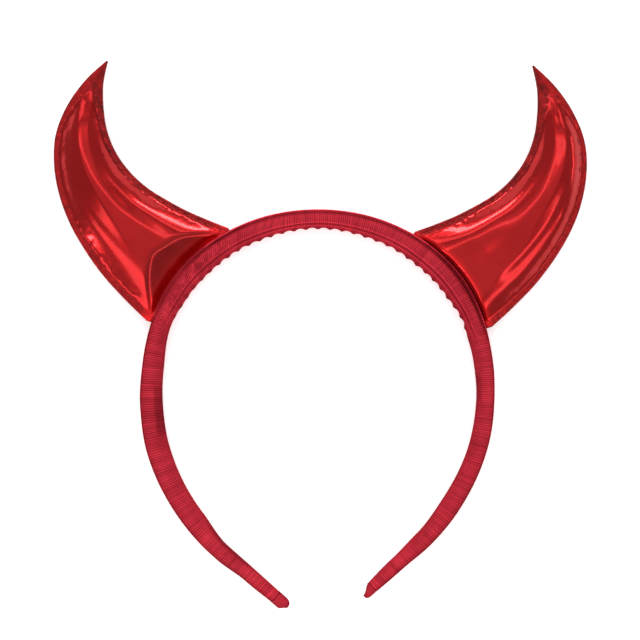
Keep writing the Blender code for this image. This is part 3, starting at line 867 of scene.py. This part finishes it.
def make_skin(horn, face, material):
    """One vinyl wall of a horn, with its flat stitched border and its puckers."""
    along, across = panel_grid(horn, PANEL_ROWS, FLANGE_COLUMNS, PUFF_COLUMNS)
    puff = FRONT_PUFF if face > 0 else BACK_PUFF
    plan = horn.point(along, across)
    height = puff * horn.height(along, across)
    line, edge = stitch_stations(horn, along, across)
    from_band = horn.band_distance(plan)
    seed = SEEDS["vinyl"] + horn.side

    border = horn.allowance(along)
    inside = np.clip((edge - border) / INSIDE_REACH, 0.0, 1.0)
    freedom = smoothstep(0.0, FREE_REACH, from_band) * smoothstep(1.0, FREE_END, along)
    stretched = np.stack((along, across), axis=-1) * UNEVEN_SPAN
    uneven = UNEVENNESS * waves(stretched, UNEVEN_LENGTH, seed + face)
    phase = 2 * np.pi * line / STITCH_PITCH
    wobble = 1 + PUCKER_WOBBLE * waves(np.stack((line, edge), axis=-1), PUCKER_WOBBLE_LENGTH, seed + 20)
    pucker = PUCKER * np.cos(phase) * wobble * np.exp(-np.maximum(edge - border, 0) / PUCKER_REACH)
    pucker *= smoothstep(*PUCKER_FROM_EDGE, edge)
    off_line = (edge - border + SEAM_ALLOWANCE - STITCH_LINE) / STITCH_SPREAD
    between = (np.mod(line / STITCH_PITCH, 1.0) - 0.5) * STITCH_PITCH / STITCH_SPREAD
    hole = np.exp(-(off_line**2) - between**2)
    detail = uneven * mix(UNEVEN_BORDER, 1, inside) * freedom + pucker * freedom
    for side, first, first_across, last, last_across, depth, breadth in HORN_CREASES:
        if side != horn.side:
            continue
        way = (along - first) / (last - first)
        off_crease = (across - first_across - (last_across - first_across) * way) / breadth
        detail -= depth * course(CREASE_COURSE, way) * np.exp(-(off_crease**2)) * inside * freedom
    detail -= STITCH_DIMPLE * hole
    rounding = np.sqrt(np.clip(1 - (1 - np.clip(edge / RIM_ROUNDING, 0, 1)) ** 2, 0, 1))
    wall = PANEL_WALL * mix(RIM_WALL, 1, rounding)

    on_border = freedom * (1 - inside)
    ripple = BORDER_RIPPLE * waves(plan, BORDER_RIPPLE_LENGTH, seed + 5) * on_border
    detail += BORDER_CRUMPLE * waves(plan, BORDER_CRUMPLE_LENGTH, seed + 6 + face) * on_border
    level = MIDDLE + ripple + face * (PIECE_GAP / 2 + height)
    inner = np.concatenate((plan, level[..., None]), axis=-1)
    normal = grid_normals(inner)
    normal *= np.sign(normal[..., 2:3]) * face
    outer = inner + normal * (wall + detail)[..., None]

    seat = horn.seat(plan[0])
    seat_level = MIDDLE + face * PIECE_GAP / 2
    inner_seat = np.concatenate((seat, np.full((len(seat), 1), seat_level)), axis=-1)
    outer_seat = inner_seat + np.array((0, 0, face * PANEL_WALL))
    inner = np.concatenate((inner_seat[None], inner))
    outer = np.concatenate((outer_seat[None], outer))
    rows, columns = outer.shape[:2]
    points = np.concatenate((outer.reshape(-1, 3), inner.reshape(-1, 3)))
    flip = (face > 0) == (horn.side > 0)
    faces = shell_faces(rows, columns, flip)

    rim = np.exp(-((edge / RIM_WIDTH) ** 2))
    flat = 1 - smoothstep(0.0, BORDER_FADE, edge - border + BORDER_FADE / 2)
    mottle = sum(waves(plan, length, seed + 30 + i) for i, length in enumerate(BORDER_MOTTLE_LENGTHS))
    inner_side = smoothstep(*INNER_SIDE, across)
    border_shade = BORDER_SHADE + BORDER_MOTTLE * mottle + INNER_BORDER_SHADE * inner_side
    # Painted shade in the stitches' holes and on the wavy, mottled border.
    shade = (1 - HOLE_SHADE * hole - RIM_SHADE * rim) * (1 - flat * border_shade)
    # Painted shade on the left horn's base slope, and painted light close to the band.
    if horn.side < 0:
        below = LEFT_BASE_SLOPE * (from_band - BASE_BORDER) / FRONT_PUFF - height / puff
        shade *= 1 - BASE_DARKNESS * (1 - smoothstep(0.0, BASE_FADE, below)) * (1 - flat)
    lighter, near = BASE_LIGHTS[horn.side]
    shade *= 1 + lighter * np.exp(-((from_band / near) ** 2))
    shade = np.concatenate((shade[:1], shade))
    shade = np.concatenate((shade.reshape(-1), np.full(shade.size, INSIDE_SHADE)))
    name = horn.name + ("_front" if face > 0 else "_back")
    skin = add_piece(name + "_skin", points, faces, material, [name], shade)
    return outer[1:], line, edge


def make_filling(horn, material):
    """The stuffing: a lens inside the two skins."""
    along, across = panel_grid(horn, *FILLING_GRID, STUFFING_INSET)
    across = 0.5 + (across - 0.5) * (1 - 2 * horn.seam_share(along, STUFFING_INSET))
    along = along[:-FILLING_SHORT_BY]
    across = across[:-FILLING_SHORT_BY]
    plan = horn.point(along, across)
    sheets = []
    for face, puff in ((1, FRONT_PUFF), (-1, BACK_PUFF)):
        height = puff * horn.height(along, across, STUFFING_INSET) - PIECE_GAP
        height += STUFFING_UNEVENNESS * waves(plan, STUFFING_UNEVEN_LENGTH, SEEDS["stuffing"] + face)
        height = np.maximum(height, STUFFING_LEAST)
        sheets.append(np.concatenate((plan, (MIDDLE + face * height)[..., None]), axis=-1))
    rows, columns = along.shape
    points = np.concatenate((sheets[0].reshape(-1, 3), sheets[1].reshape(-1, 3)))
    faces = shell_faces(rows, columns, horn.side > 0)
    filling = add_piece(horn.name + "_filling", points, faces, material, [horn.name + "_stuffing"])
    return filling


def make_thread(horn, face, grid, line, edge, material):
    """The stitches of one face of a horn's seam, as short threads sunk into the vinyl."""
    random = np.random.default_rng(SEEDS["thread"] + horn.side * 2 + face)
    columns = grid.shape[1]
    rim = int(np.argmin(np.abs(edge[PANEL_ROWS // 3, : columns // 2] - STITCH_LINE)))
    points = []
    faces = []
    for column in (rim, columns - 1 - rim):
        path = grid[:, column]
        way = line[:, column]
        count = int(way[-1] / STITCH_PITCH)
        for number in range(1, count - 2):
            middle = number * STITCH_PITCH + random.uniform(-STITCH_JITTER, STITCH_JITTER) * STITCH_PITCH
            stretch = STITCH_COURSE * STITCH_PITCH + middle
            spine = np.stack([np.interp(stretch, way, path[:, axis]) for axis in range(3)], axis=-1)
            spine[:, 2] += face * STITCH_LIFTS
            heading = spine[-1, :2] - spine[0, :2]
            heading /= np.linalg.norm(heading)
            beside = np.array((-heading[1], heading[0], 0.0))
            above = np.array((0.0, 0.0, 1.0))
            start = len(points)
            for centre in spine:
                for corner in range(THREAD_SIDES):
                    turn = 2 * math.pi * corner / THREAD_SIDES
                    away = beside * math.cos(turn) + above * math.sin(turn)
                    points.append(centre + THREAD_RADIUS * away)
            for ring in range(len(spine) - 1):
                for corner in range(THREAD_SIDES):
                    here = start + ring * THREAD_SIDES + corner
                    beside_it = start + ring * THREAD_SIDES + (corner + 1) % THREAD_SIDES
                    faces.append((here, beside_it, beside_it + THREAD_SIDES, here + THREAD_SIDES))
            end = start + len(spine) * THREAD_SIDES
            faces.append(tuple(range(start + THREAD_SIDES - 1, start - 1, -1)))
            faces.append(tuple(range(end - THREAD_SIDES, end)))
    name = horn.name + ("_front" if face > 0 else "_back") + "_thread"
    return add_piece(name, np.array(points), faces, material, [])


def new_material(name, metallic, roughness):
    """A material with its shader, links and a function that adds nodes."""
    made = bpy.data.materials.new(name)
    made.use_nodes = True
    tree = made.node_tree
    shader = tree.nodes["Principled BSDF"]
    shader.inputs["Metallic"].default_value = metallic
    shader.inputs["Roughness"].default_value = roughness

    def node(kind, **values):
        new = tree.nodes.new(kind)
        for key, value in values.items():
            if key in new.inputs:
                new.inputs[key].default_value = value
            else:
                setattr(new, key, value)
        return new

    return made, shader, node, tree.links.new


def noise(node, link, scale, detail=3.0, roughness=0.5):
    """Noise in the piece's own coordinates."""
    texture = node("ShaderNodeTexNoise", Scale=scale, Detail=detail, Roughness=roughness)
    link(node("ShaderNodeTexCoord").outputs["Object"], texture.inputs["Vector"])
    return texture.outputs["Fac"]


def ramp(node, link, value, *stops):
    """A colour ramp with these stops of place and colour."""
    made = node("ShaderNodeValToRGB")
    elements = made.color_ramp.elements
    while len(elements) < len(stops):
        elements.new(0.5)
    for element, (place, colour) in zip(elements, stops):
        element.position = place
        element.color = (*colour, 1.0)
    link(value, made.inputs["Fac"])
    return made.outputs["Color"]


def shaded(node, link, colour):
    """The colour times the mesh's own shade."""
    attribute = node("ShaderNodeAttribute", attribute_name="shade")
    scaled = node("ShaderNodeVectorMath", operation="SCALE")
    link(colour, scaled.inputs[0])
    link(attribute.outputs["Fac"], scaled.inputs["Scale"])
    return scaled.outputs["Vector"]


def bump(node, link, height, strength, distance, below=None):
    """The normal bumped by this height, over another bump if there is one."""
    made = node("ShaderNodeBump", Strength=strength, Distance=distance)
    link(height, made.inputs["Height"])
    if below is not None:
        link(below, made.inputs["Normal"])
    return made.outputs["Normal"]


def vary_roughness(node, link, shader, texture, low, high):
    rough = node("ShaderNodeMapRange")
    rough.inputs["To Min"].default_value = low
    rough.inputs["To Max"].default_value = high
    link(texture, rough.inputs["Value"])
    link(rough.outputs["Result"], shader.inputs["Roughness"])


def ribbon_material():
    made, shader, node, link = new_material("ribbon_satin", 0.0, 0.5)
    broad = noise(node, link, scale=140.0, detail=4.0, roughness=0.6)
    colour = ramp(node, link, broad, (0.30, (0.42, 0.020, 0.034)), (0.70, (0.54, 0.029, 0.047)))
    link(shaded(node, link, colour), shader.inputs["Base Color"])
    shader.inputs["Specular IOR Level"].default_value = 0.0
    cloth = node("ShaderNodeUVMap", uv_map="cloth")
    threads = node("ShaderNodeTexWave", wave_type="BANDS", bands_direction="X", Scale=90.0, Distortion=1.2)
    link(cloth.outputs["UV"], threads.inputs["Vector"])
    weave = bump(node, link, threads.outputs["Fac"], 0.25, 0.00008)
    fibres = noise(node, link, scale=2600.0, detail=2.0)
    link(bump(node, link, fibres, 0.35, 0.00010, weave), shader.inputs["Normal"])
    vary_roughness(node, link, shader, noise(node, link, scale=420.0), 0.42, 0.62)
    return made


def vinyl_material():
    made, shader, node, link = new_material("red_metallic_vinyl", 0.9, 0.2)
    broad = noise(node, link, scale=70.0, detail=5.0, roughness=0.6)
    colour = ramp(node, link, broad, (0.30, (0.31, 0.004, 0.005)), (0.70, (0.37, 0.007, 0.008)))
    link(shaded(node, link, colour), shader.inputs["Base Color"])
    shader.inputs["Coat Weight"].default_value = 0.16
    shader.inputs["Coat Roughness"].default_value = 0.04
    shader.inputs["Coat IOR"].default_value = 1.45
    grain = bump(node, link, noise(node, link, scale=900.0, detail=2.0), 0.10, 0.00010)
    swell = noise(node, link, scale=160.0, detail=2.0)
    link(bump(node, link, swell, 0.10, 0.00030, grain), shader.inputs["Normal"])
    vary_roughness(node, link, shader, noise(node, link, scale=300.0), 0.15, 0.21)
    return made


def wadding_material():
    made, shader, node, link = new_material("wadding_fibre", 0.0, 0.95)
    tufts = noise(node, link, scale=500.0, detail=6.0, roughness=0.7)
    colour = ramp(node, link, tufts, (0.3, (0.66, 0.64, 0.60)), (0.7, (0.86, 0.85, 0.82)))
    link(colour, shader.inputs["Base Color"])
    link(bump(node, link, tufts, 0.6, 0.0004), shader.inputs["Normal"])
    return made


def thread_material():
    made, shader, node, link = new_material("red_thread", 0.0, 0.6)
    twist = noise(node, link, scale=3000.0, detail=2.0)
    colour = ramp(node, link, twist, (0.3, (0.34, 0.008, 0.016)), (0.7, (0.46, 0.014, 0.024)))
    link(colour, shader.inputs["Base Color"])
    link(bump(node, link, twist, 0.5, 0.00005), shader.inputs["Normal"])
    return made


def make_floor():
    """A pale floor that glows a little, as a light table does."""
    mesh = bpy.data.meshes.new("floor")
    half = FLOOR_SIZE / 2
    corners = [(-half, -half, 0.0), (half, -half, 0.0), (half, half, 0.0), (-half, half, 0.0)]
    mesh.from_pydata(corners, [], [(0, 1, 2, 3)])
    floor = new_object("floor", mesh)
    floor.location.z = -FLOOR_DROP
    made, shader, node, link = new_material("pale_paper", 0.0, 0.9)
    clouds = noise(node, link, scale=6.0)
    colour = ramp(node, link, clouds, (0.3, (0.95, 0.95, 0.95)), (0.7, (0.97, 0.97, 0.97)))
    link(colour, shader.inputs["Base Color"])
    shader.inputs["Specular IOR Level"].default_value = 0.1
    shader.inputs["Emission Color"].default_value = (1.0, 1.0, 1.0, 1.0)
    shader.inputs["Emission Strength"].default_value = FLOOR_GLOW
    mesh.materials.append(made)


# Softboxes: name, azimuth from +X and elevation, distance, width, height and radiance.
LIGHTS = (
    ("overhead", 90.0, 89.0, 1.40, 2.20, 2.20, 0.50),
    ("high", 90.0, 66.0, 1.30, 1.60, 0.10, 3.0),
    ("top", 90.0, 36.0, 1.40, 1.80, 0.24, 2.5),
    ("left", 225.0, 34.0, 1.30, 0.90, 0.30, 2.8),
    ("right", -35.0, 37.0, 1.30, 0.90, 0.20, 2.9),
    ("glint_left", 68.0, 15.0, 1.20, 0.30, 0.13, 24.0),
    ("glint_right", 116.0, 15.0, 1.20, 0.30, 0.13, 24.0),
    ("rim_left", 211.0, 10.0, 1.20, 0.14, 0.10, 20.0),
    ("rim_right", 8.0, 9.0, 1.20, 0.60, 0.10, 5.0),
)
LIGHT_TARGET = Vector((0.0, -0.01, 0.01))
WORLD_LIGHT = 0.64


def make_lights():
    for name, azimuth, elevation, distance, width, height, radiance in LIGHTS:
        lamp = bpy.data.lights.new(name, "AREA")
        lamp.shape = "RECTANGLE"
        lamp.size = width
        lamp.size_y = height
        lamp.energy = radiance * math.pi * width * height
        turn = math.radians(azimuth)
        rise = math.radians(elevation)
        way = Vector((math.cos(turn) * math.cos(rise), math.sin(turn) * math.cos(rise), math.sin(rise)))
        holder = new_object(name, lamp)
        holder.location = LIGHT_TARGET + way * distance
        holder.rotation_euler = way.to_track_quat("Z", "Y").to_euler()
    world = bpy.data.worlds.new("studio")
    world.use_nodes = True
    background = world.node_tree.nodes["Background"]
    background.inputs["Color"].default_value = (1.0, 1.0, 1.0, 1.0)
    background.inputs["Strength"].default_value = WORLD_LIGHT
    bpy.context.scene.world = world
    bpy.context.scene.view_settings.view_transform = "Standard"


def make_camera():
    lens = bpy.data.cameras.new("camera")
    lens.lens = CAMERA_LENS
    lens.clip_start = CAMERA_CLIP
    camera = new_object("camera", lens)
    camera.location = CAMERA_PLACE
    bpy.context.scene.camera = camera


def main():
    make_camera()
    make_lights()
    make_floor()
    ribbon = ribbon_material()
    vinyl = vinyl_material()
    wadding = wadding_material()
    thread = thread_material()
    horns = {row[1]: Horn(row) for row in HORNS}
    make_ribbon(horns, ribbon)
    for side, horn in horns.items():
        make_ribbon_end(side, ribbon)
        for face in (1, -1):
            grid, line, edge = make_skin(horn, face, vinyl)
            make_thread(horn, face, grid, line, edge, thread)
        make_filling(horn, wadding)


main()
